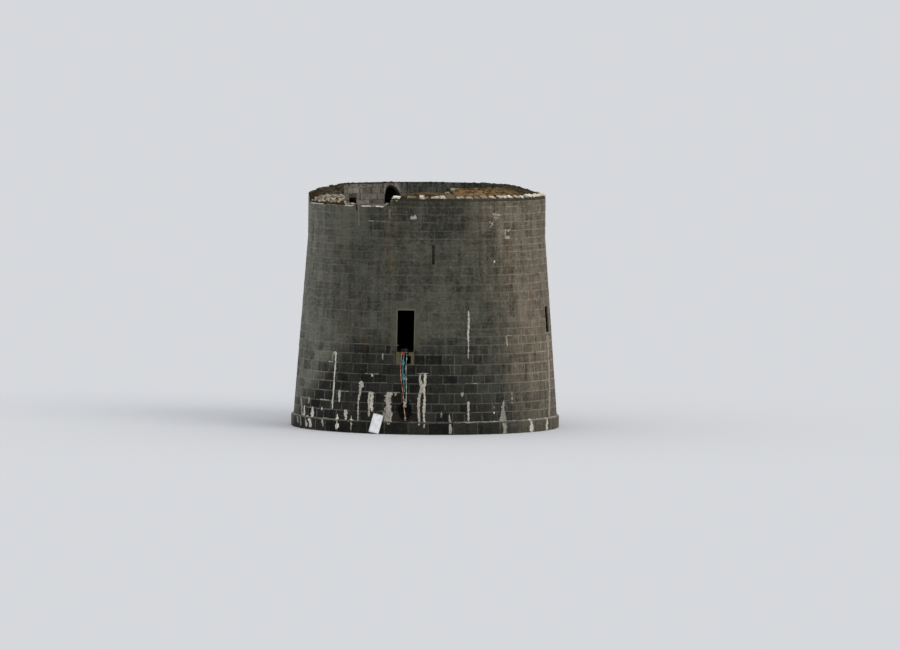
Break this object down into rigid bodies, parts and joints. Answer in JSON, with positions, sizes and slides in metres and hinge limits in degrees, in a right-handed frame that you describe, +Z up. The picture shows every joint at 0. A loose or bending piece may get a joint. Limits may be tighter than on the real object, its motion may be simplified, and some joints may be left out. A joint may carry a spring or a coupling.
{
  "type": "martello tower",
  "caption": "Round battered gun tower of coursed stone with a raised door, side windows, a domed room, a trefoil gun platform and a breached parapet.",
  "frame": {"origin": "on the ground on the tower's axis, at the underside of the basement floor", "axes": "+Z up; -Y out of the raised door; +X to the right of someone who faces the door"},
  "size_m": [13.7598, 13.9763, 12.4],
  "materials": {
    "ashlar": "weathered coursed blocks with pale joints and lime runs",
    "dressed_stone": "smooth dressed stone, weathered",
    "coping_stone": "bleached slabs with moss in the joints",
    "inner_stone": "rough inner masonry and flags",
    "earth_and_rubble": "rubble core under a skin of soil",
    "old_timber": "old and grey",
    "red_rope": "faded rope",
    "blue_rope": "faded rope",
    "pale_rope": "faded rope",
    "tyre_rubber": "worn, dull",
    "board_paint": "bare white paint, grimy at the edges"
  },
  "bodies": {
    "root": {"plinth": "ashlar", "wall_front_right": "ashlar", "wall_right_front": "ashlar", "wall_right_rear": "ashlar", "wall_rear_right": "ashlar", "wall_rear_left": "ashlar", "wall_left_rear": "ashlar", "wall_left_front": "ashlar", "wall_front_left": "ashlar", "wall_below_door": "ashlar", "wall_above_door": "ashlar", "wall_below_right_window": "ashlar", "wall_above_right_window": "ashlar", "wall_below_left_window": "ashlar", "wall_above_left_window": "ashlar", "parapet_front_right": "ashlar", "parapet_right": "ashlar", "parapet_rear_right": "ashlar", "parapet_rear_left": "ashlar", "parapet_left": "ashlar", "parapet_front_left": "ashlar", "door_jambs": "dressed_stone", "door_lintel": "dressed_stone", "door_apron": "dressed_stone", "window_lintels": "dressed_stone", "window_sills": "dressed_stone", "basement_floor": "inner_stone", "platform_paving": "inner_stone", "vault_front": "inner_stone", "vault_right": "inner_stone", "vault_rear": "inner_stone", "vault_left": "inner_stone", "slope_front_right": "earth_and_rubble", "slope_right": "earth_and_rubble", "slope_rear_right": "earth_and_rubble", "slope_rear_left": "earth_and_rubble", "slope_left": "earth_and_rubble", "slope_worn": "earth_and_rubble", "coping": "coping_stone", "first_floor_beams": "old_timber", "first_floor_boards": "old_timber", "red_rope": "red_rope", "rope_bundle": "red_rope", "blue_rope": "blue_rope", "pale_rope": "pale_rope", "tyre_lashing": "pale_rope", "hanging_tyre": "tyre_rubber", "notice_board": "board_paint"}
  },
  "joints": []
}
